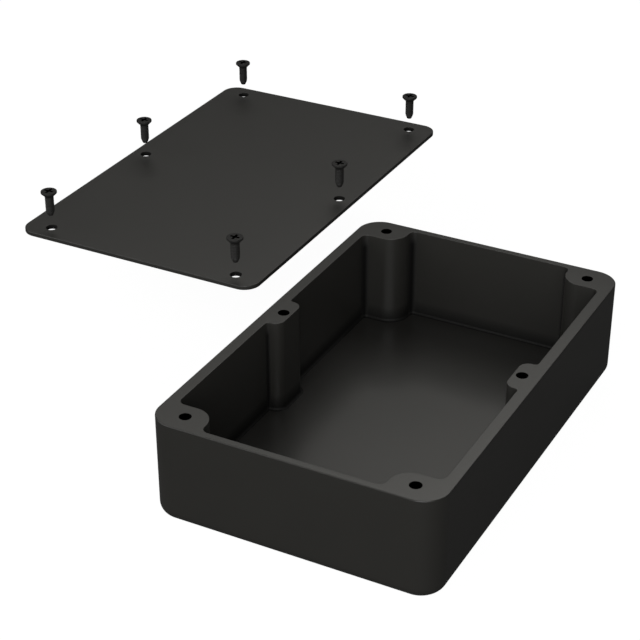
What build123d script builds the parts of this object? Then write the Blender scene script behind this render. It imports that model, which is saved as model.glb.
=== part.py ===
from build123d import *
from math import isclose, radians, tan
import os

# A die cast aluminium enclosure: an open box with six screw bosses, a flat lid and six screws.
# The lid is taken off and lies level beside the box, with its screws drawn out above it.
# Lengths are in millimetres and angles in degrees.
# X runs along the box from its front end to its rear end, Y to its left side and Z up.
# The origin is the middle of the box's underside.

# Outside of the box
box_length = 188.0  # along X, measured at the rim
box_width = 119.6  # along Y, measured at the rim
box_height = 43.8  # underside to rim
corner_radius = 10.5  # upright corners, measured at the rim
draft_angle = 0.25  # slope of every upright face, so that the casting leaves its mould
foot_radius = 5.0  # round edge along the underside
rim_edge = 0.4  # broken edge along the outside of the rim

# Inside of the box
end_wall = 3.1  # short walls, measured at the rim
side_wall = 5.0  # long walls, measured at the rim
floor_thickness = 2.5
floor_fillet = 1.2  # round where the walls and bosses meet the floor

# Screw axes, measured in from the outer faces at the rim
corner_screw_from_end = 8.6
corner_screw_from_side = 12.6
middle_screw_from_side = 7.4

# Bosses, measured from their screw's axis
corner_boss_reach_x = 7.1
corner_boss_reach_y = 9.9
corner_boss_radius = 8.5
corner_boss_blend = 3.0  # hollow round between a corner boss and the walls
middle_boss_reach_x = 9.9
middle_boss_reach_y = 3.7
middle_boss_radius = 4.3
middle_boss_blend = 1.6  # hollow round between a middle boss and its wall

# Lid
lid_thickness = 2.0
lid_edge_gap = 0.45  # how far the lid's straight edges stay inside the rim's
lid_corner_radius = 7.4
lid_edge = 0.35  # broken edge round the top and the underside
lid_seat_gap = 0.05  # between the rim and a lid that isn't screwed down
lid_hole_diameter = 4.8
seat_diameter = 5.2  # shallow countersink at the top of a lid hole, where a head comes to rest

# Screws, with a coned head and a cross recess
screw_diameter = 4.0
screw_length = 12.0  # whole length, with the head
head_diameter = 7.2
head_band = 0.9  # upright band round the head
cone_angle = 90.0  # of the head, of the lid's countersinks and of the box's hole mouths
tip_length = 2.6
tip_diameter = 1.9
tip_edge = 0.4  # broken edge round the end of the tip
recess_span = 4.4
recess_slot = 1.2
recess_depth = 1.7
recess_taper = 9.0  # slope of the recess's walls
box_hole_clearance = 0.1  # on the radius, round the screw
box_hole_edge = 0.35  # broken edge round the mouth of a hole in the box
head_seat_gap = 0.05  # upright, between a head's cone and the countersink it stops at
spare_hole_depth = 3.0  # left below the tip of a screw that is driven home

# Where the lid and the screws are, taken apart
lid_x = 101.5
lid_y = 131.5
screw_lift = 17.9  # top of a head above the lid's top

# Places that follow
half_length = box_length / 2
half_width = box_width / 2
cavity_half_length = half_length - end_wall
cavity_half_width = half_width - side_wall
corner_screw_x = half_length - corner_screw_from_end
corner_screw_y = half_width - corner_screw_from_side
middle_screw_y = half_width - middle_screw_from_side
screw_places = {
    "front_left": (-corner_screw_x, corner_screw_y),
    "front_right": (-corner_screw_x, -corner_screw_y),
    "middle_left": (0.0, middle_screw_y),
    "middle_right": (0.0, -middle_screw_y),
    "rear_left": (corner_screw_x, corner_screw_y),
    "rear_right": (corner_screw_x, -corner_screw_y),
}
corner_boss_x = corner_screw_x - corner_boss_reach_x
corner_boss_y = corner_screw_y - corner_boss_reach_y
middle_boss_y = middle_screw_y - middle_boss_reach_y
lid_underside = box_height + lid_seat_gap
lid_top = lid_underside + lid_thickness
cone_slope = tan(radians(cone_angle / 2))
head_cone = (head_diameter - screw_diameter) / 2 / cone_slope
# How far a head that is driven home stands above the lid
head_proud = head_band + (head_diameter - seat_diameter) / 2 / cone_slope + head_seat_gap
tip_reach = screw_length - head_proud - lid_thickness - lid_seat_gap
box_hole_radius = screw_diameter / 2 + box_hole_clearance
box_hole_depth = tip_reach + spare_hole_depth
rounds_share = 0.98  # most of a boss's side that its two rounds may take up


def rounds_in(depth, outer_round, hollow_round):
    """The two rounds on one side of a boss, both made smaller where the side is too short for them."""
    fit = min(1.0, rounds_share * depth / (outer_round + hollow_round))
    return outer_round * fit, hollow_round * fit


def corners_at(sketch, x, y):
    """The corners of a symmetrical outline that lie at plus or minus x and plus or minus y."""
    return sketch.vertices().filter_by(
        lambda corner: isclose(abs(corner.X), x, abs_tol=1e-6)
        and isclose(abs(corner.Y), y, abs_tol=1e-6)
    )


corner_boss_depth = min(cavity_half_length - corner_boss_x, cavity_half_width - corner_boss_y)
corner_round, corner_hollow = rounds_in(corner_boss_depth, corner_boss_radius, corner_boss_blend)
middle_boss_depth = cavity_half_width - middle_boss_y
middle_round, middle_hollow = rounds_in(middle_boss_depth, middle_boss_radius, middle_boss_blend)

# Box: one casting, open at the top, with its bosses blended into the walls and standing on the floor
with BuildPart() as box:
    with BuildSketch(Plane.XY.offset(box_height)):
        RectangleRounded(box_length, box_width, corner_radius)
    extrude(amount=-box_height, taper=draft_angle)
    fillet(box.faces().sort_by(Axis.Z)[0].edges(), foot_radius)
    chamfer(box.faces().sort_by(Axis.Z)[-1].edges(), rim_edge)

    with BuildSketch(Plane.XY.offset(box_height)) as cavity:
        Rectangle(2 * cavity_half_length, 2 * cavity_half_width)
        corner_centre_x = (cavity_half_length + corner_boss_x) / 2
        corner_centre_y = (cavity_half_width + corner_boss_y) / 2
        with GridLocations(2 * corner_centre_x, 2 * corner_centre_y, 2, 2):
            Rectangle(
                cavity_half_length - corner_boss_x,
                cavity_half_width - corner_boss_y,
                mode=Mode.SUBTRACT,
            )
        with GridLocations(0, cavity_half_width + middle_boss_y, 1, 2):
            Rectangle(
                2 * middle_boss_reach_x,
                cavity_half_width - middle_boss_y,
                mode=Mode.SUBTRACT,
            )
        fillet(corners_at(cavity, corner_boss_x, corner_boss_y), corner_round)
        fillet(corners_at(cavity, cavity_half_length, corner_boss_y), corner_hollow)
        fillet(corners_at(cavity, corner_boss_x, cavity_half_width), corner_hollow)
        fillet(corners_at(cavity, middle_boss_reach_x, middle_boss_y), middle_round)
        fillet(corners_at(cavity, middle_boss_reach_x, cavity_half_width), middle_hollow)
    extrude(amount=floor_thickness - box_height, taper=draft_angle, mode=Mode.SUBTRACT)
    floor = box.faces().filter_by(Axis.Z).filter_by_position(
        Axis.Z, floor_thickness / 2, 2 * floor_thickness
    )[0]
    fillet(floor.edges(), floor_fillet)

    with Locations(*[(x, y, box_height) for x, y in screw_places.values()]):
        CounterSinkHole(
            box_hole_radius,
            box_hole_radius + box_hole_edge,
            box_hole_depth,
            counter_sink_angle=cone_angle,
        )
box.part.label = "box"

# Lid: a flat plate with a shallowly countersunk hole over each boss
with BuildPart() as lid:
    with BuildSketch(Plane.XY.offset(lid_underside)):
        with Locations((lid_x, lid_y)):
            RectangleRounded(
                box_length - 2 * lid_edge_gap,
                box_width - 2 * lid_edge_gap,
                lid_corner_radius,
            )
    extrude(amount=lid_thickness)
    chamfer(lid.faces().filter_by(Axis.Z).edges(), lid_edge)
    with Locations(*[(lid_x + x, lid_y + y, lid_top) for x, y in screw_places.values()]):
        CounterSinkHole(
            lid_hole_diameter / 2, seat_diameter / 2, counter_sink_angle=cone_angle
        )
lid.part.label = "lid"

# One screw, with the middle of its head's top at the origin
with BuildPart() as screw_form:
    with BuildSketch(Plane.XZ):
        with BuildLine():
            Polyline(
                (0, 0),
                (head_diameter / 2, 0),
                (head_diameter / 2, -head_band),
                (screw_diameter / 2, -head_band - head_cone),
                (screw_diameter / 2, tip_length - screw_length),
                (tip_diameter / 2, -screw_length),
                (0, -screw_length),
                close=True,
            )
        make_face()
    revolve(axis=Axis.Z)
    chamfer(screw_form.faces().sort_by(Axis.Z)[0].edges(), tip_edge)
    with BuildSketch():
        Rectangle(recess_span, recess_slot)
        Rectangle(recess_slot, recess_span)
    extrude(amount=-recess_depth, taper=recess_taper, mode=Mode.SUBTRACT)

# Six screws, each over its hole in the lid
screws = []
for place, (x, y) in screw_places.items():
    with BuildPart() as screw:
        with Locations((lid_x + x, lid_y + y, lid_top + screw_lift)):
            add(screw_form.part)
    screw.part.label = f"screw_{place}"
    screws.append(screw.part)

os.makedirs("parts", exist_ok=True)
for piece in (box.part, lid.part, *screws):
    export_step(piece, f"parts/{piece.label}.step")
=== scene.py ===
import logging
import math
from dataclasses import dataclass, field
from enum import Enum

import bmesh
import bpy
import numpy as np
from mathutils import Matrix, Vector
from mathutils.geometry import delaunay_2d_cdt

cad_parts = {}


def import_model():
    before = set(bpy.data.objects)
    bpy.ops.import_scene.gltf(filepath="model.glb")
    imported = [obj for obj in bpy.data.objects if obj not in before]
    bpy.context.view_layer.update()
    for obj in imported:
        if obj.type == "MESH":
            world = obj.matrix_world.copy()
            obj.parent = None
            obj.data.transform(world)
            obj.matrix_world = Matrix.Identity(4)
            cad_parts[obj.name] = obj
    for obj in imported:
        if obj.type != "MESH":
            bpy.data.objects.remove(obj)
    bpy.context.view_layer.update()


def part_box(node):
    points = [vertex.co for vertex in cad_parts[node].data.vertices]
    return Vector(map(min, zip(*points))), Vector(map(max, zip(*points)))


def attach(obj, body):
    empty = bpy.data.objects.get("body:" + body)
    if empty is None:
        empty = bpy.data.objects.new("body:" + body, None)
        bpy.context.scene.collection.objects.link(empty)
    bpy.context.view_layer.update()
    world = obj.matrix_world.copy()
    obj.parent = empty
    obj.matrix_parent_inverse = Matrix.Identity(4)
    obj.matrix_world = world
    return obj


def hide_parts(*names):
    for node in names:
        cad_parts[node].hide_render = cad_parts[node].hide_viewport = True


# A die cast aluminium enclosure taken apart: the open box, its flat lid beside it and six screws
# drawn out above the lid. Lengths are in metres and angles in radians, apart from the lights', which
# are in degrees. X runs along the box towards its rear end, Y to its left side and Z up, from the
# middle of the box's underside.

MM = 0.001
RIGHT_ANGLE = math.pi / 2
MERGE_DISTANCE = 0.0005 * MM
SMOOTH_ANGLE = math.radians(32)
JOIN_DISTANCE = 1e-9
# How far large faces lead small ones in the shading of a shared corner, from 1 to 100
FACE_LEAD = 100
# Share of a thread's depth that is cut flat at its crests, and as much at its roots
THREAD_FLAT = 0.14
# The point attribute of painted shade, by which the finishes darken hollow places where shade falls
SHADE_MASK = "shade_mask"
NOISE_MIDDLE = 0.5
# Places of the colour sockets on a Mix node that mixes colours
MIX_A, MIX_B, MIX_RESULT = 6, 7, 2
BLACK = (0.0, 0.0, 0.0, 1.0)
WHITE = (1.0, 1.0, 1.0, 1.0)
WARM_WHITE = (1.0, 0.985, 0.935)

log = logging.getLogger("enclosure")


class Place(Enum):
    """Where a screw belongs: its end of the box along X and its side along Y, as signs."""

    FRONT_LEFT = (-1, 1)
    FRONT_RIGHT = (-1, -1)
    MIDDLE_LEFT = (0, 1)
    MIDDLE_RIGHT = (0, -1)
    REAR_LEFT = (1, 1)
    REAR_RIGHT = (1, -1)

    @property
    def node(self) -> str:
        """The name of this screw's node and body."""
        return f"screw_{self.name.lower()}"


@dataclass(frozen=True)
class Outline:
    """A closed flat outline, counter-clockwise, with the outward direction at each of its points.

    Its bends are 1 in the middle of an arc that turns left, 0 at the arc's ends and elsewhere.
    """

    points: np.ndarray
    normals: np.ndarray
    bends: np.ndarray

    @classmethod
    def with_corners(cls, corners: np.ndarray, radii: np.ndarray, segments: int) -> "Outline":
        """A polygon whose corners are rounded.

        Formula: an arc of radius r touches both sides at r times the tangent of half the turn from
        the corner. Its centre is r to the inner side of the first touching point, and its points are
        the centre plus r times the outward direction, which turns evenly from one side's to the next.
        A bend is the sine of half a turn times the share of the arc, on arcs that turn left.

        Args:
            corners: the polygon's corners, counter-clockwise, one row each.
            radii: one radius for each corner.
            segments: steps along each arc.

        Returns:
            The outline through all the arcs.
        """
        ahead = np.roll(corners, -1, axis=0) - corners
        ahead /= np.linalg.norm(ahead, axis=1, keepdims=True)
        behind = np.roll(ahead, 1, axis=0)
        across = behind[:, 0] * ahead[:, 1] - behind[:, 1] * ahead[:, 0]
        along = (behind * ahead).sum(axis=1)
        turn = np.arctan2(across, along)
        start = corners - behind * (radii * np.tan(np.abs(turn) / 2))[:, None]
        outward = np.column_stack([behind[:, 1], -behind[:, 0]])
        side = np.sign(turn)
        centre = start - outward * (side * radii)[:, None]
        angle = np.arctan2(outward[:, 1], outward[:, 0])[:, None]
        angle = angle + turn[:, None] * np.linspace(0, 1, segments + 1)[None, :]
        normals = np.stack([np.cos(angle), np.sin(angle)], axis=-1)
        points = centre[:, None, :] + normals * (side * radii)[:, None, None]
        swell = np.sin(math.pi * np.linspace(0, 1, segments + 1))
        bends = np.clip(side, 0, 1)[:, None] * swell[None, :]
        return cls(points.reshape(-1, 2), normals.reshape(-1, 2), bends.reshape(-1))

    @classmethod
    def rectangle(cls, length: float, width: float, radius: float, segments: int) -> "Outline":
        """A rectangle with rounded corners about the origin.

        Args:
            length: its size along X.
            width: its size along Y.
            radius: of its corners.
            segments: steps along each corner.

        Returns:
            The outline.
        """
        signs = np.array([[1, -1], [1, 1], [-1, 1], [-1, -1]], float)
        corners = signs * np.array([length / 2, width / 2])
        return cls.with_corners(corners, np.full(len(corners), radius), segments)

    @classmethod
    def circle(cls, centre: tuple[float, float], radius: float, segments: int) -> "Outline":
        """A circle.

        Formula: the centre plus the radius times the direction at evenly spaced angles.

        Args:
            centre: its middle.
            radius: its radius, or 0 for an outline that only a profile widens.
            segments: steps round it.

        Returns:
            The outline.
        """
        angle = np.linspace(0, 2 * math.pi, segments, endpoint=False)
        normals = np.column_stack([np.cos(angle), np.sin(angle)])
        return cls(np.array(centre) + normals * radius, normals, np.zeros(segments))

    def offset(self, distance: float) -> np.ndarray:
        """The outline's points, each moved outwards by a distance."""
        return self.points + self.normals * distance

    def carried(self, profile: np.ndarray) -> np.ndarray:
        """A profile carried round the outline.

        Formula: point (i, j) is outline point j moved outwards by the profile's first value at i,
        at the profile's second value as its height.

        Args:
            profile: rows of outward distance and height.

        Returns:
            A grid of points, profile rows by outline points by 3.
        """
        flat = self.points[None, :, :] + self.normals[None, :, :] * profile[:, 0][:, None, None]
        height = np.broadcast_to(profile[:, 1][:, None, None], flat.shape[:2] + (1,))
        return np.concatenate([flat, height], axis=2)


def arc(centre: tuple[float, float], radius: float, first: float, last: float, steps: int) -> np.ndarray:
    """Points along an arc of a profile.

    Formula: the centre plus the radius times the cosine and sine of evenly spaced angles.

    Args:
        centre: the arc's middle.
        radius: its radius.
        first: the angle that it starts at.
        last: the angle that it ends at.
        steps: how many spans it has.

    Returns:
        Rows of the profile's two values.
    """
    angle = np.linspace(first, last, steps + 1)
    return np.column_stack([centre[0] + radius * np.cos(angle), centre[1] + radius * np.sin(angle)])


@dataclass
class Shell:
    """The points and faces of one closed piece, gathered surface by surface.

    Each point also has a mask of painted shade, which darkens the finish: up to 1 in a hole or a
    recess, less in a hollow or a fillet, and 0 on the open surface.
    """

    points: list[np.ndarray] = field(default_factory=list)
    masks: list[np.ndarray] = field(default_factory=list)
    faces: list[list[int]] = field(default_factory=list)
    count: int = 0

    def _add(self, points: np.ndarray, faces: np.ndarray, mask: float | np.ndarray = 0.0) -> None:
        """Appends points with their mask, and faces that count from the first of them.

        Args:
            points: a grid or a list of points.
            faces: rows of places in it.
            mask: a number or a grid of them.
        """
        self.points.append(points.reshape(-1, 3))
        self.masks.append(np.broadcast_to(mask, points.shape[:-1]).reshape(-1))
        self.faces.extend((faces + self.count).tolist())
        self.count += len(self.points[-1])

    def ring_surface(self, grid: np.ndarray, mask: float | np.ndarray = 0.0) -> None:
        """Adds a surface that closes on itself along its second direction.

        Formula: each face joins points (i, j), (i, j+1), (i+1, j+1) and (i+1, j), and after the last
        column comes the first.

        Args:
            grid: rows by columns of points.
            mask: a number or a grid of them.
        """
        rows, columns = grid.shape[:2]
        i, j = np.meshgrid(np.arange(rows - 1), np.arange(columns), indexing="ij")
        beside = (j + 1) % columns
        row, below = i * columns, (i + 1) * columns
        corners = [row + j, row + beside, below + beside, below + j]
        self._add(grid, np.stack(corners, axis=-1).reshape(-1, 4), mask)

    def plate(self, outlines: list[np.ndarray], height: float) -> None:
        """Adds a flat face inside the first outline, left open inside each of the others.

        Formula: all the points are joined by triangles that cross no outline. A triangle with its
        three corners on one outline lies inside it when, counter-clockwise, they follow in the
        outline's order. Such triangles are left out of the holes, and the others out of the first.

        Args:
            outlines: closed loops of flat points, counter-clockwise.
            height: where the face lies along Z.
        """
        flat = np.concatenate(outlines)
        lengths = np.array([len(outline) for outline in outlines])
        starts = np.concatenate([[0], np.cumsum(lengths)[:-1]])
        edges = np.concatenate([
            np.column_stack([np.arange(n), (np.arange(n) + 1) % n]) + start
            for n, start in zip(lengths, starts)
        ])
        _, _, triangles, sources, _, _ = delaunay_2d_cdt(
            [Vector(point) for point in flat.tolist()], edges.tolist(), [], 0, JOIN_DISTANCE
        )
        faces = np.array([given[0] for given in sources])[np.array(triangles)]
        kept = np.ones(len(faces), bool)
        for n, start in zip(lengths, starts):
            on_outline = ((faces >= start) & (faces < start + n)).all(axis=1)
            in_order = (np.roll(faces, -1, axis=1) > faces).sum(axis=1) == 2
            kept &= ~(on_outline & (in_order == (start > 0)))
        self._add(np.column_stack([flat, np.full(len(flat), height)]), faces[kept])

    def fan(self, ring: np.ndarray, tip: np.ndarray, mask: float = 0.0) -> None:
        """Closes a ring of points with a triangle from each of its sides to one point.

        Args:
            ring: the points of the ring.
            tip: the point that all the triangles share.
            mask: the mask of them all.
        """
        n = len(ring)
        faces = np.column_stack([np.arange(n), (np.arange(n) + 1) % n, np.full(n, n)])
        self._add(np.vstack([ring, tip]), faces, mask)

    def piece(self, name: str, material: bpy.types.Material) -> bpy.types.Object:
        """Makes the piece: seams merged, faces outwards, curves smooth and edges crisp.

        Args:
            name: the object's name.
            material: its finish.

        Returns:
            The object, at the origin, with its place in its mesh.
        """
        mesh = bpy.data.meshes.new(name)
        mesh.from_pydata(np.concatenate(self.points).tolist(), [], self.faces)
        attribute = mesh.attributes.new(SHADE_MASK, "FLOAT", "POINT")
        attribute.data.foreach_set("value", np.concatenate(self.masks))
        work = bmesh.new()
        work.from_mesh(mesh)
        bmesh.ops.remove_doubles(work, verts=work.verts, dist=MERGE_DISTANCE)
        bmesh.ops.recalc_face_normals(work, faces=work.faces)
        open_edges = len([edge for edge in work.edges if not edge.is_manifold])
        if open_edges:
            log.warning("%s has %d open edges", name, open_edges)
        work.to_mesh(mesh)
        work.free()
        mesh.shade_smooth()
        mesh.set_sharp_from_angle(angle=SMOOTH_ANGLE)
        mesh.materials.append(material)
        made = bpy.data.objects.new(name, mesh)
        bpy.context.scene.collection.objects.link(made)
        weighted = made.modifiers.new("flat_faces_lead", "WEIGHTED_NORMAL")
        weighted.keep_sharp = True
        weighted.weight = FACE_LEAD
        return made


def thread_depth(turns: np.ndarray) -> np.ndarray:
    """How deep a thread's groove is, from 0 at its crest to 1 at its root.

    Formula: a triangle wave of the turn's fraction, stretched a little past both ends and clipped, so
    that crests and roots are narrow flats.

    Args:
        turns: how many turns along the thread each point is.

    Returns:
        The depth at each point.
    """
    wave = 1 - np.abs(2 * (turns % 1.0) - 1)
    return np.clip((wave - THREAD_FLAT) / (1 - 2 * THREAD_FLAT), 0, 1)


class NodeTree:
    """A node tree with short ways to add and join nodes."""

    def __init__(self, tree: bpy.types.NodeTree) -> None:
        """Keeps the tree."""
        self.tree = tree

    def node(self, kind: str, **settings: object) -> bpy.types.Node:
        """Adds a node and sets its properties.

        Args:
            kind: the node's type name.
            settings: property names and values.

        Returns:
            The node.
        """
        made = self.tree.nodes.new(kind)
        for name, value in settings.items():
            setattr(made, name, value)
        return made

    def join(self, source: bpy.types.NodeSocket, target: bpy.types.NodeSocket) -> None:
        """Joins an output to an input."""
        self.tree.links.new(source, target)

    def maths(self, operation: str, *values: object) -> bpy.types.NodeSocket:
        """Adds a Math node whose inputs are numbers or outputs.

        Args:
            operation: the node's operation.
            values: a number or an output for each input.

        Returns:
            The node's output.
        """
        made = self.node("ShaderNodeMath", operation=operation)
        for socket, value in zip(made.inputs, values):
            if isinstance(value, bpy.types.NodeSocket):
                self.join(value, socket)
            else:
                socket.default_value = value
        return made.outputs[0]


@dataclass(frozen=True)
class CastSurface:
    """Node group: the skin of painted casting, as a height and a slow drift of tone."""

    group_name: str = "cast_surface"
    grain_detail: float = 3.0
    grain_roughness: float = 0.6
    ripple_detail: float = 2.0
    tone_detail: float = 3.0

    def build(self) -> bpy.types.NodeTree:
        """Makes the group.

        Formula: height is fine grain plus a share of broad ripple, tone is a slow noise and speckle
        is the fine grain alone, all about zero to one.

        Returns:
            The node group.
        """
        group = bpy.data.node_groups.new(self.group_name, "ShaderNodeTree")
        sockets = group.interface
        sockets.new_socket("Vector", in_out="INPUT", socket_type="NodeSocketVector")
        for name in ("Grain Scale", "Ripple Scale", "Ripple Share", "Tone Scale"):
            sockets.new_socket(name, in_out="INPUT", socket_type="NodeSocketFloat")
        for name in ("Height", "Tone", "Speckle"):
            sockets.new_socket(name, in_out="OUTPUT", socket_type="NodeSocketFloat")
        tree = NodeTree(group)
        given = tree.node("NodeGroupInput")
        result = tree.node("NodeGroupOutput")
        grain = tree.node("ShaderNodeTexNoise")
        grain.inputs["Detail"].default_value = self.grain_detail
        grain.inputs["Roughness"].default_value = self.grain_roughness
        ripple = tree.node("ShaderNodeTexNoise")
        ripple.inputs["Detail"].default_value = self.ripple_detail
        tone = tree.node("ShaderNodeTexNoise")
        tone.inputs["Detail"].default_value = self.tone_detail
        for noise, scale in ((grain, "Grain Scale"), (ripple, "Ripple Scale"), (tone, "Tone Scale")):
            tree.join(given.outputs["Vector"], noise.inputs["Vector"])
            tree.join(given.outputs[scale], noise.inputs["Scale"])
        share = tree.maths("MULTIPLY", ripple.outputs[0], given.outputs["Ripple Share"])
        tree.join(tree.maths("ADD", grain.outputs[0], share), result.inputs["Height"])
        tree.join(tone.outputs[0], result.inputs["Tone"])
        tree.join(grain.outputs[0], result.inputs["Speckle"])
        return group


@dataclass(frozen=True)
class Finish:
    """A satin finish: its colour, its gloss and how much its skin shows.

    Where the shade mask is 1 there is painted shade: the colour is almost black and the surface dull,
    and Metallic is 1, which over black takes the gloss away. It is painted shade: nothing here is bare
    metal.
    """

    name: str
    colour: tuple[float, float, float]
    tone_drift: float
    roughness: float
    roughness_drift: float
    specular: float
    bump_height: float
    grain_scale: float
    ripple_scale: float
    ripple_share: float
    tone_scale: float = 22.0
    # Painted shade where the mask is 1: how near black the colour goes, and how dull the surface
    shade_strength: float = 0.98
    shaded_roughness: float = 0.9

    def material(self, surface: bpy.types.NodeTree) -> bpy.types.Material:
        """Makes the material.

        Formula: the colour drifts with the skin's tone and the roughness with its speckle, and the
        mask of painted shade takes both towards their shaded values.

        Args:
            surface: the node group of the skin.

        Returns:
            The material.
        """
        made = bpy.data.materials.new(self.name)
        made.use_nodes = True
        tree = NodeTree(made.node_tree)
        shader = made.node_tree.nodes["Principled BSDF"]
        place = tree.node("ShaderNodeTexCoord")
        skin = tree.node("ShaderNodeGroup", node_tree=surface)
        skin.inputs["Grain Scale"].default_value = self.grain_scale
        skin.inputs["Ripple Scale"].default_value = self.ripple_scale
        skin.inputs["Ripple Share"].default_value = self.ripple_share
        skin.inputs["Tone Scale"].default_value = self.tone_scale
        tree.join(place.outputs["Object"], skin.inputs["Vector"])

        tint = tree.node("ShaderNodeMix", data_type="RGBA", clamp_factor=True)
        tree.join(skin.outputs["Tone"], tint.inputs["Factor"])
        darker = tuple(value * (1 - self.tone_drift) for value in self.colour)
        lighter = tuple(value * (1 + self.tone_drift) for value in self.colour)
        tint.inputs[MIX_A].default_value = (*darker, 1.0)
        tint.inputs[MIX_B].default_value = (*lighter, 1.0)
        # Painted shade: the mask takes the colour towards black
        mask = tree.node("ShaderNodeAttribute", attribute_name=SHADE_MASK).outputs["Fac"]
        shade = tree.node("ShaderNodeMix", data_type="RGBA", clamp_factor=True)
        tree.join(tree.maths("MULTIPLY", mask, self.shade_strength), shade.inputs["Factor"])
        tree.join(tint.outputs[MIX_RESULT], shade.inputs[MIX_A])
        shade.inputs[MIX_B].default_value = BLACK
        tree.join(shade.outputs[MIX_RESULT], shader.inputs["Base Color"])

        centred = tree.maths("SUBTRACT", skin.outputs["Speckle"], NOISE_MIDDLE)
        spread = tree.maths("MULTIPLY", centred, self.roughness_drift)
        rough = tree.maths("ADD", spread, self.roughness)
        # Painted shade: the mask takes the roughness towards a dull one
        dull = tree.maths("MULTIPLY", mask, self.shaded_roughness - self.roughness)
        tree.join(tree.maths("ADD", rough, dull), shader.inputs["Roughness"])

        bump = tree.node("ShaderNodeBump")
        bump.inputs["Distance"].default_value = self.bump_height
        tree.join(skin.outputs["Height"], bump.inputs["Height"])
        tree.join(bump.outputs["Normal"], shader.inputs["Normal"])

        # Painted shade: Metallic follows the mask, which over black takes the gloss away
        tree.join(mask, shader.inputs["Metallic"])
        shader.inputs["Specular IOR Level"].default_value = self.specular
        return made


SATIN_BLACK = (0.0150, 0.0146, 0.0132)
CAST_PAINT = Finish(
    name="satin_black_cast",
    colour=SATIN_BLACK,
    tone_drift=0.10,
    roughness=0.31,
    roughness_drift=0.06,
    specular=0.35,
    bump_height=0.004 * MM,
    grain_scale=1700.0,
    ripple_scale=130.0,
    ripple_share=0.8,
)
LID_PAINT = Finish(
    name="satin_black_lid",
    colour=SATIN_BLACK,
    tone_drift=0.08,
    roughness=0.42,
    roughness_drift=0.05,
    specular=0.35,
    bump_height=0.003 * MM,
    grain_scale=1900.0,
    ripple_scale=90.0,
    ripple_share=0.5,
)
BLACK_STEEL = Finish(
    name="blackened_steel",
    colour=(0.0120, 0.0118, 0.0112),
    tone_drift=0.15,
    roughness=0.50,
    roughness_drift=0.10,
    specular=0.14,
    bump_height=0.0015 * MM,
    grain_scale=5200.0,
    ripple_scale=600.0,
    ripple_share=0.3,
)


@dataclass
class HolePattern:
    """The six screw axes, the same in the box and in the lid."""

    corner_x: float
    corner_y: float
    middle_y: float

    def at(self, place: Place) -> tuple[float, float]:
        """Where a screw's axis stands.

        Args:
            place: which of the six screws it is.

        Returns:
            Its X and Y from the middle of the box or of the lid.
        """
        end, side = place.value
        if end == 0:
            return (0.0, side * self.middle_y)
        return (end * self.corner_x, side * self.corner_y)


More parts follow.
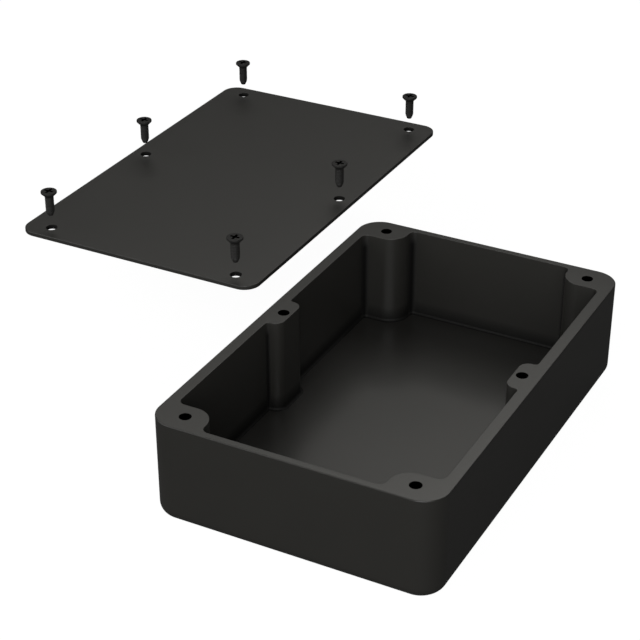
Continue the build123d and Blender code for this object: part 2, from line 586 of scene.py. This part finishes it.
@dataclass
class BoxCasting:
    """The open box: one casting with six bosses, a rim and threaded holes."""

    corner_radius: float = 10.5 * MM
    draft: float = math.radians(0.25)
    foot_radius: float = 5.0 * MM
    rim_edge: float = 0.4 * MM
    inner_edge: float = 0.18 * MM
    end_wall: float = 3.1 * MM
    side_wall: float = 5.0 * MM
    floor_thickness: float = 2.5 * MM
    floor_fillet: float = 1.2 * MM
    # How far a boss reaches from its screw's axis, its outer round and its hollow round
    corner_boss_reach: tuple[float, float] = (7.1 * MM, 9.9 * MM)
    corner_boss_radius: float = 8.5 * MM
    corner_boss_blend: float = 3.0 * MM
    middle_boss_reach: tuple[float, float] = (9.9 * MM, 3.7 * MM)
    middle_boss_radius: float = 4.3 * MM
    middle_boss_blend: float = 1.6 * MM
    # Threaded holes, with their radii
    hole_depth: float = 11.0 * MM
    thread_crest: float = 2.05 * MM
    thread_root: float = 2.27 * MM
    thread_pitch: float = 0.7 * MM
    hole_mouth: float = 2.45 * MM
    # Painted shade: where its mask begins in a hole, its share along the floor's fillet and in the hollow
    # rounds, the depth over which it fades in there, and the strip of floor in which it ends
    hole_shade_depth: float = 0.02 * MM
    fillet_mask: float = 0.6
    hollow_mask: float = 0.8
    hollow_fade: float = 5.0 * MM
    foot_strip: float = 0.12 * MM
    # Steps of the mesh
    outer_steps: int = 18
    foot_steps: int = 10
    wall_rows: int = 7
    rim_steps: int = 5
    cavity_steps: int = 14
    inner_edge_steps: int = 4
    cavity_rows: int = 8
    fillet_steps: int = 8
    hole_segments: int = 32
    rows_per_turn: int = 6
    # Taken from the CAD box and the pattern
    length: float = field(init=False)
    width: float = field(init=False)
    height: float = field(init=False)
    holes: HolePattern = field(init=False)

    def build(self, holes: HolePattern, material: bpy.types.Material) -> bpy.types.Object:
        """Makes the casting in the place of its node.

        Args:
            holes: where the screw axes are.
            material: its finish.

        Returns:
            The casting, riding on the box.
        """
        low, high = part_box("box")
        self.length = high.x - low.x
        self.width = high.y - low.y
        self.height = high.z - low.z
        self.holes = holes
        shell = Shell()
        rim_outer = self._outer_skin(shell)
        rim_inner = self._cavity_skin(shell)
        mouths = [self._threaded_hole(shell, holes.at(place)) for place in Place]
        shell.plate([rim_outer, rim_inner, *mouths], self.height)
        casting = shell.piece("box_casting", material)
        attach(casting, "box")
        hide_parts("box")
        return casting

    def _outer_skin(self, shell: Shell) -> np.ndarray:
        """Adds the underside, the foot's round, the drafted wall and the rim's edge.

        Formula: the wall leans in by the tangent of the draft for each step down, and both rounds
        are quarter circles that meet it.

        Args:
            shell: where the surface goes.

        Returns:
            The flat outline in which the rim's face starts.
        """
        outline = Outline.rectangle(self.length, self.width, self.corner_radius, self.outer_steps)
        lean = math.tan(self.draft)
        foot_in = -(self.height - self.foot_radius) * lean
        foot_middle = (foot_in - self.foot_radius, self.foot_radius)
        foot = arc(foot_middle, self.foot_radius, -RIGHT_ANGLE, 0, self.foot_steps)
        heights = np.linspace(self.foot_radius, self.height - self.rim_edge, self.wall_rows)[1:-1]
        wall = np.column_stack([-(self.height - heights) * lean, heights])
        edge_middle = (-self.rim_edge, self.height - self.rim_edge)
        edge = arc(edge_middle, self.rim_edge, 0, RIGHT_ANGLE, self.rim_steps)
        shell.ring_surface(outline.carried(np.vstack([foot, wall, edge])))
        shell.plate([outline.offset(foot[0, 0])], 0.0)
        return outline.offset(-self.rim_edge)

    def _cavity_outline(self) -> Outline:
        """The inside's outline at the rim: a rectangle with a step in at each of the six bosses.

        Formula: the corners of the quarter at the rear left are mirrored to the other three, and each
        is rounded by its own radius.

        Returns:
            The outline.
        """
        end = self.length / 2 - self.end_wall
        side = self.width / 2 - self.side_wall
        boss_x = self.holes.corner_x - self.corner_boss_reach[0]
        boss_y = self.holes.corner_y - self.corner_boss_reach[1]
        middle_x = self.middle_boss_reach[0]
        middle_y = self.holes.middle_y - self.middle_boss_reach[1]
        quarter = np.array([
            (end, boss_y), (boss_x, boss_y), (boss_x, side), (middle_x, side), (middle_x, middle_y),
        ])
        rounds = np.array([
            self.corner_boss_blend, self.corner_boss_radius, self.corner_boss_blend,
            self.middle_boss_blend, self.middle_boss_radius,
        ])
        mirrored = quarter[::-1]
        corners = np.vstack([quarter, mirrored * (-1, 1), quarter * (-1, -1), mirrored * (1, -1)])
        radii = np.concatenate([rounds, rounds[::-1], rounds, rounds[::-1]])
        return Outline.with_corners(corners, radii, self.cavity_steps)

    def _cavity_skin(self, shell: Shell) -> np.ndarray:
        """Adds the inner wall with its bosses, the fillet at its foot and the floor.

        Formula: the outline moves inwards by the tangent of the draft for each step down, and the
        fillet is a quarter circle between the wall and the floor. The mask of painted shade is a share of
        one along the fillet, which ends in a narrow strip of floor, and a share of the bends down the
        walls.

        Args:
            shell: where the surface goes.

        Returns:
            The flat outline in which the rim's face ends.
        """
        outline = self._cavity_outline()
        lean = math.tan(self.draft)
        edge_middle = (self.inner_edge, self.height - self.inner_edge)
        edge = arc(edge_middle, self.inner_edge, RIGHT_ANGLE, 2 * RIGHT_ANGLE, self.inner_edge_steps)
        fillet_top = self.floor_thickness + self.floor_fillet
        heights = np.linspace(self.height - self.inner_edge, fillet_top, self.cavity_rows)[1:-1]
        wall = np.column_stack([-(self.height - heights) * lean, heights])
        foot_in = -(self.height - fillet_top) * lean
        fillet_middle = (foot_in - self.floor_fillet, fillet_top)
        fillet = arc(fillet_middle, self.floor_fillet, 0, -RIGHT_ANGLE, self.fillet_steps)
        on_floor = fillet[-1] - (self.foot_strip, 0.0)
        profile = np.vstack([edge, wall, fillet, on_floor])
        # Painted shade along the fillet and down the hollow rounds
        on_fillet = self.fillet_mask * (profile[:, 1] <= fillet_top)[:, None]
        below_rim = np.clip((self.height - self.inner_edge - profile[:, 1]) / self.hollow_fade, 0, 1)
        in_hollow = self.hollow_mask * below_rim[:, None] * outline.bends[None, :]
        mask = np.maximum(on_fillet, in_hollow)
        mask[-1] = 0.0
        shell.ring_surface(outline.carried(profile), mask)
        shell.plate([outline.offset(on_floor[0])], self.floor_thickness)
        return outline.offset(self.inner_edge)

    def _threaded_hole(self, shell: Shell, centre: tuple[float, float]) -> np.ndarray:
        """Adds one blind hole with its thread.

        Formula: the radius goes from root to crest with the thread's depth at the number of turns,
        which is the height over the pitch less the angle over a full turn. Above that a cone at 45
        degrees widens to the mouth. The mask of painted shade is 1 from just below the mouth.

        Args:
            shell: where the surface goes.
            centre: the hole's axis.

        Returns:
            The flat outline of the hole's mouth.
        """
        step = self.thread_pitch / self.rows_per_turn
        steps = np.arange(step, self.hole_depth, step)
        depth = np.concatenate([[0.0, self.hole_shade_depth], steps])[:, None]
        angle = np.linspace(0, 2 * math.pi, self.hole_segments, endpoint=False)[None, :]
        groove = thread_depth((self.height - depth) / self.thread_pitch - angle / (2 * math.pi))
        radius = self.thread_crest + (self.thread_root - self.thread_crest) * groove
        radius = np.maximum(radius, self.hole_mouth - depth)
        x = centre[0] + radius * np.cos(angle)
        y = centre[1] + radius * np.sin(angle)
        z = np.broadcast_to(self.height - depth, x.shape)
        grid = np.stack([x, y, z], axis=-1)
        # Painted shade inside the hole, from just below the mouth to its bottom
        shell.ring_surface(grid, np.clip(depth / self.hole_shade_depth, 0, 1))
        bottom = np.array([*centre, self.height - self.hole_depth])
        shell.fan(grid[-1], bottom, 1.0)
        return grid[0, :, :2]


@dataclass
class LidPlate:
    """The flat lid: a plate with rounded corners, broken edges and six shallow countersinks."""

    corner_radius: float = 7.4 * MM
    edge: float = 0.35 * MM
    hole_radius: float = 2.4 * MM
    seat_radius: float = 2.6 * MM
    hole_edge: float = 0.06 * MM
    # Painted shade on the countersink and wall of each hole
    hole_mask: float = 0.65
    # Steps of the mesh
    corner_steps: int = 18
    edge_steps: int = 4
    hole_segments: int = 40

    def build(self, holes: HolePattern, material: bpy.types.Material) -> bpy.types.Object:
        """Makes the lid in the place of its node.

        Args:
            holes: where the screw axes are, from the lid's middle.
            material: its finish.

        Returns:
            The lid, riding on its body.
        """
        low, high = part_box("lid")
        middle = (low + high) / 2
        length, width = high.x - low.x, high.y - low.y
        outline = Outline.rectangle(length, width, self.corner_radius, self.corner_steps)
        shell = Shell()
        lower = arc((-self.edge, low.z + self.edge), self.edge, -RIGHT_ANGLE, 0, self.edge_steps)
        upper = arc((-self.edge, high.z - self.edge), self.edge, 0, RIGHT_ANGLE, self.edge_steps)
        shell.ring_surface(outline.carried(np.vstack([lower, upper])))
        mouths = [self._hole(shell, holes.at(place), low.z, high.z) for place in Place]
        flat = outline.offset(-self.edge)
        shell.plate([flat] + [upper_mouth for upper_mouth, _ in mouths], high.z)
        shell.plate([flat] + [lower_mouth for _, lower_mouth in mouths], low.z)
        lid = shell.piece("lid_plate", material)
        lid.data.transform(Matrix.Translation((middle.x, middle.y, 0)))
        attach(lid, "lid")
        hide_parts("lid")
        return lid

    def _hole(
        self, shell: Shell, centre: tuple[float, float], low: float, high: float
    ) -> tuple[np.ndarray, np.ndarray]:
        """Adds one hole through the plate.

        Formula: a profile of radius and height is carried round a circle: the mouth, the countersink
        at 45 degrees, the wall and the lower edge. All but the mouths carry painted shade.

        Args:
            shell: where the surface goes.
            centre: the hole's axis.
            low: the height of the plate's underside.
            high: the height of its top.

        Returns:
            The flat outlines of its upper and lower mouths.
        """
        circle = Outline.circle(centre, 0.0, self.hole_segments)
        sink = self.seat_radius - self.hole_radius
        profile = np.array([
            (self.seat_radius + self.hole_edge, high),
            (self.seat_radius, high - self.hole_edge / 2),
            (self.hole_radius, high - sink),
            (self.hole_radius, low + self.hole_edge),
            (self.hole_radius + self.hole_edge, low),
        ])
        mask = np.full((len(profile), 1), self.hole_mask)
        mask[[0, -1]] = 0.0
        shell.ring_surface(circle.carried(profile), mask)
        return circle.offset(profile[0, 0]), circle.offset(profile[-1, 0])


@dataclass
class CrossScrew:
    """One screw: a coned head with a cross recess, a threaded shank and a rounded tip."""

    band: float = 0.9 * MM
    shank_radius: float = 2.0 * MM
    edge: float = 0.25 * MM
    pitch: float = 0.7 * MM
    groove: float = 0.26 * MM
    tip_length: float = 2.6 * MM
    tip_radius: float = 0.95 * MM
    # Cross recess: its foot as a share of its mouth, and its wall as a share of its depth
    recess_span: float = 4.4 * MM
    recess_slot: float = 1.2 * MM
    recess_depth: float = 1.7 * MM
    recess_foot: float = 0.42
    recess_wall_share: float = 0.85
    # Painted shade in the recess, fading in over this share of its depth
    recess_shade_share: float = 0.02
    arm_round: float = 0.2 * MM
    inner_round: float = 0.16 * MM
    # Under the head and along the shank
    neck_fillet: float = 0.12 * MM
    neck_length: float = 0.1 * MM
    thread_start: float = 0.2 * MM
    thread_runout: float = 1.6 * MM
    plain_end: float = 0.5 * MM
    nose_length: float = 0.35 * MM
    tip_curve: float = 1.35
    nose_from: float = math.radians(10)
    nose_to: float = math.radians(84)
    cone_angle: float = math.radians(45)
    # Steps of the mesh
    segments: int = 44
    rows_per_turn: int = 9
    recess_rows: int = 5
    head_steps: int = 4
    cone_edge_steps: int = 3
    nose_steps: int = 8
    round_steps: int = 4
    # Taken from the CAD screw
    head_radius: float = field(init=False)
    length: float = field(init=False)

    def build(self, place: Place, material: bpy.types.Material) -> bpy.types.Object:
        """Makes the screw in the place of its node.

        Args:
            place: which of the six it is.
            material: its finish.

        Returns:
            The screw, riding on its body.
        """
        low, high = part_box(place.node)
        self.head_radius = (high.x - low.x) / 2
        self.length = high.z - low.z
        shell = Shell()
        top = self._turned_surface(shell)
        cross = self._recess(shell)
        shell.plate([top, cross], 0.0)
        screw = shell.piece(f"cross_{place.node}", material)
        middle = (low + high) / 2
        screw.data.transform(Matrix.Translation((middle.x, middle.y, high.z)))
        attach(screw, place.node)
        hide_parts(place.node)
        return screw

    def _turned_surface(self, shell: Shell) -> np.ndarray:
        """Adds the head's side, the cone, the threaded shank and the tip.

        Formula: a profile of radius and height is turned about the axis. Along the shank the radius
        is less the groove times the thread's depth at the number of turns, fading in under the cone
        and out along the tip. The nose is part of a quarter of an ellipse.

        Args:
            shell: where the surface goes.

        Returns:
            The flat outline in which the head's top ends.
        """
        cone_foot = -(self.band + (self.head_radius - self.shank_radius) / math.tan(self.cone_angle))
        shank_end = self.tip_length - self.length
        upper_middle = (self.head_radius - self.edge, -self.edge)
        upper = arc(upper_middle, self.edge, RIGHT_ANGLE, 0, self.head_steps)
        lower_middle = (self.head_radius - self.edge, self.edge * math.tan(self.cone_angle / 2) - self.band)
        lower = arc(lower_middle, self.edge, 0, -self.cone_angle, self.cone_edge_steps)
        cone = np.array([
            (self.shank_radius + self.neck_fillet, cone_foot + self.neck_fillet),
            (self.shank_radius, cone_foot - self.neck_length),
        ])
        thread_top = cone_foot - self.thread_start
        heights = np.arange(thread_top, self.nose_length - self.length, -self.pitch / self.rows_per_turn)
        narrowing = np.clip((shank_end - heights) / self.tip_length, 0, 1) ** self.tip_curve
        radii = self.shank_radius - (self.shank_radius - self.tip_radius) * narrowing
        last = radii[-1]
        end = -self.length
        rounding = arc((0.0, 0.0), 1.0, self.nose_from, self.nose_to, self.nose_steps)
        nose_height = heights[-1] - (heights[-1] - end) * rounding[:, 1]
        nose = np.column_stack([last * rounding[:, 0], nose_height])
        profile = np.vstack([upper, lower, cone, np.column_stack([radii, heights]), nose])
        fade_in = np.clip((thread_top - profile[:, 1]) / self.pitch, 0, 1)
        fade_out = np.clip((profile[:, 1] + self.length - self.plain_end) / self.thread_runout, 0, 1)
        angle = np.linspace(0, 2 * math.pi, self.segments, endpoint=False)[None, :]
        turns = profile[:, 1][:, None] / self.pitch - angle / (2 * math.pi)
        depth = self.groove * (fade_in * fade_out)[:, None] * thread_depth(turns)
        radius = profile[:, 0][:, None] - depth
        height = np.broadcast_to(profile[:, 1][:, None], radius.shape)
        grid = np.stack([radius * np.cos(angle), radius * np.sin(angle), height], axis=-1)
        shell.ring_surface(grid)
        shell.fan(grid[-1], np.array([0.0, 0.0, end]))
        return grid[0, :, :2]

    def _recess(self, shell: Shell) -> np.ndarray:
        """Adds the cross recess.

        Formula: a cross with rounded corners shrinks evenly towards the axis on its way down, and
        ends in a blunt point. The mask of painted shade is 1 from just below the head's top.

        Args:
            shell: where the surface goes.

        Returns:
            The flat outline of the recess at the head's top.
        """
        far = self.recess_span / 2
        near = self.recess_slot / 2
        arm = np.array([(far, -near), (far, near), (near, near)])
        quarter_turn = np.array([[0.0, 1.0], [-1.0, 0.0]])
        turned = [arm @ np.linalg.matrix_power(quarter_turn, turn) for turn in range(4)]
        rounds = np.tile([self.arm_round, self.arm_round, self.inner_round], len(turned))
        outline = Outline.with_corners(np.vstack(turned), rounds, self.round_steps)
        lower_rows = np.linspace(0, 1, self.recess_rows + 1)[1:]
        depth = np.concatenate([[0.0, self.recess_shade_share], lower_rows])[:, None, None]
        shrink = 1 - (1 - self.recess_foot) * depth
        flat = outline.points[None, :, :] * shrink
        wall_depth = self.recess_depth * self.recess_wall_share
        height = np.broadcast_to(-wall_depth * depth, flat.shape[:2] + (1,))
        grid = np.concatenate([flat, height], axis=2)
        shell.ring_surface(grid, np.clip(depth[..., 0] / self.recess_shade_share, 0, 1))
        shell.fan(grid[-1], np.array([0.0, 0.0, -self.recess_depth]), 1.0)
        return outline.points


@dataclass(frozen=True)
class SoftBox:
    """A soft light, aimed at the object's middle."""

    name: str
    bearing: float
    elevation: float
    size: tuple[float, float]
    power: float
    colour: tuple[float, float, float] = (1.0, 1.0, 1.0)
    distance: float = 1.2
    aim: tuple[float, float, float] = (0.05, 0.05, 0.02)

    def place(self) -> None:
        """Makes the light and turns it towards its aim.

        Formula: it stands at its distance from the origin, at its bearing from +X towards +Y and at
        its elevation above the floor, both in degrees.
        """
        light = bpy.data.lights.new(self.name, "AREA")
        light.shape = "RECTANGLE"
        light.size, light.size_y = self.size
        light.color = self.colour
        light.energy = self.power
        made = bpy.data.objects.new(self.name, light)
        bpy.context.scene.collection.objects.link(made)
        turn, rise = math.radians(self.bearing), math.radians(self.elevation)
        level = self.distance * math.cos(rise)
        made.location = (level * math.cos(turn), level * math.sin(turn), self.distance * math.sin(rise))
        towards = Vector(self.aim) - made.location
        made.rotation_euler = towards.to_track_quat("-Z", "Y").to_euler()


@dataclass(frozen=True)
class Viewpoint:
    """The camera of the photograph: where it stands, where it looks and its lens."""

    position: tuple[float, float, float] = (-0.555603, -0.257069, 0.405538)
    heading: float = math.radians(27.781)
    downward: float = math.radians(29.870)
    lens: float = 100.622
    sensor: float = 36.0
    near_limit: float = 0.01

    def place(self) -> None:
        """Makes the camera, aims it and makes it the scene's camera.

        Formula: it looks along its heading, measured from +X towards +Y, tipped down by an angle.
        """
        data = bpy.data.cameras.new("photo_camera")
        data.lens = self.lens
        data.sensor_width = self.sensor
        data.clip_start = self.near_limit
        made = bpy.data.objects.new("photo_camera", data)
        bpy.context.scene.collection.objects.link(made)
        level = math.cos(self.downward)
        ahead, aside = level * math.cos(self.heading), level * math.sin(self.heading)
        forward = Vector((ahead, aside, -math.sin(self.downward)))
        made.location = self.position
        made.rotation_euler = forward.to_track_quat("-Z", "Y").to_euler()
        bpy.context.scene.camera = made


@dataclass(frozen=True)
class Studio:
    """A white room: floor, surrounding light and soft lights."""

    floor_size: float = 14.0
    floor_colour: tuple[float, float, float, float] = (0.05, 0.05, 0.05, 1.0)
    floor_roughness: float = 0.9
    floor_glow: float = 0.97
    gloss_share: float = 0.02
    room_level: float = 0.08
    lights: tuple[SoftBox, ...] = (
        SoftBox("left_front", bearing=128.0, elevation=28.0, size=(1.1, 1.0), power=9.0),
        SoftBox("front", bearing=203.0, elevation=25.0, size=(1.1, 1.0), power=18.6),
        SoftBox("right_top", bearing=-12.0, elevation=56.0, size=(0.45, 0.45), power=1.7),
        SoftBox(
            "rear_high", bearing=28.0, elevation=56.0, size=(0.45, 0.45), power=0.80, colour=WARM_WHITE
        ),
        SoftBox(
            "rear_strip", bearing=28.0, elevation=49.0, size=(0.22, 0.75), power=0.60, colour=WARM_WHITE
        ),
        SoftBox(
            "rear_right", bearing=15.0, elevation=49.0, size=(0.22, 0.75), power=0.95, colour=WARM_WHITE
        ),
        SoftBox(
            "rear_left", bearing=45.0, elevation=42.0, size=(0.3, 0.45), power=0.42, colour=WARM_WHITE
        ),
    )

    def build(self) -> None:
        """Makes the floor, the room's light and the soft lights."""
        self._floor()
        self._room()
        for light in self.lights:
            light.place()
            log.info("light %s", light.name)

    def _shown(self, tree: NodeTree) -> bpy.types.NodeSocket:
        """Adds the nodes for how much of the white background a ray sees.

        Formula: all of it for camera and transmission rays, and a share of it for glossy rays,
        because the photograph's dark sides reflect little of the white around them.

        Args:
            tree: where the nodes go.

        Returns:
            The share that is seen.
        """
        path = tree.node("ShaderNodeLightPath")
        direct = tree.maths("MAXIMUM", path.outputs["Is Camera Ray"], path.outputs["Is Transmission Ray"])
        in_gloss = tree.maths("MULTIPLY", path.outputs["Is Glossy Ray"], self.gloss_share)
        return tree.maths("MAXIMUM", direct, in_gloss)

    def _floor(self) -> None:
        """Makes the pale floor, which keeps the object's shadow."""
        half = self.floor_size / 2
        mesh = bpy.data.meshes.new("floor")
        corners = np.array([(-half, -half, 0), (half, -half, 0), (half, half, 0), (-half, half, 0)])
        mesh.from_pydata(corners.tolist(), [], [[0, 1, 2, 3]])
        floor = bpy.data.objects.new("floor", mesh)
        bpy.context.scene.collection.objects.link(floor)
        material = bpy.data.materials.new("pale_floor")
        material.use_nodes = True
        tree = NodeTree(material.node_tree)
        shader = material.node_tree.nodes["Principled BSDF"]
        shader.inputs["Base Color"].default_value = self.floor_colour
        shader.inputs["Roughness"].default_value = self.floor_roughness
        shader.inputs["Specular IOR Level"].default_value = 0.0
        shader.inputs["Emission Color"].default_value = WHITE
        glow = tree.maths("MULTIPLY", self._shown(tree), self.floor_glow)
        tree.join(glow, shader.inputs["Emission Strength"])
        mesh.materials.append(material)

    def _room(self) -> None:
        """Lights the room evenly and shows white behind the object."""
        world = bpy.data.worlds.new("room")
        world.use_nodes = True
        bpy.context.scene.world = world
        tree = NodeTree(world.node_tree)
        background = world.node_tree.nodes["Background"]
        background.inputs["Color"].default_value = WHITE
        strength = tree.maths("MAXIMUM", self._shown(tree), self.room_level)
        tree.join(strength, background.inputs["Strength"])


@dataclass
class Enclosure:
    """The whole product: box, lid and screws on one pattern of holes."""

    screw_from_end: float = 8.6 * MM
    screw_from_side: float = 12.6 * MM
    middle_from_side: float = 7.4 * MM
    casting: BoxCasting = field(default_factory=BoxCasting)
    lid: LidPlate = field(default_factory=LidPlate)
    screw: CrossScrew = field(default_factory=CrossScrew)

    def build(self) -> list[bpy.types.Object]:
        """Makes every piece.

        Formula: a screw's axis is the box's outer face less its distance from that face.

        Returns:
            The casting, the lid and the screws.
        """
        _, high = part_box("box")
        holes = HolePattern(
            corner_x=high.x - self.screw_from_end,
            corner_y=high.y - self.screw_from_side,
            middle_y=high.y - self.middle_from_side,
        )
        surface = CastSurface().build()
        casting = self.casting.build(holes, CAST_PAINT.material(surface))
        lid = self.lid.build(holes, LID_PAINT.material(surface))
        steel = BLACK_STEEL.material(surface)
        return [casting, lid, *(self.screw.build(place, steel) for place in Place)]


def main() -> None:
    """Builds the enclosure, the studio and the camera, and notes the sizes."""
    logging.basicConfig(level=logging.INFO, format="%(name)s %(message)s")
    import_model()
    for piece in Enclosure().build():
        log.info("piece %s: %d faces", piece.name, len(piece.data.polygons))
    Studio().build()
    Viewpoint().place()
    bpy.context.scene.view_settings.view_transform = "Standard"


if __name__ == "__main__":
    main()
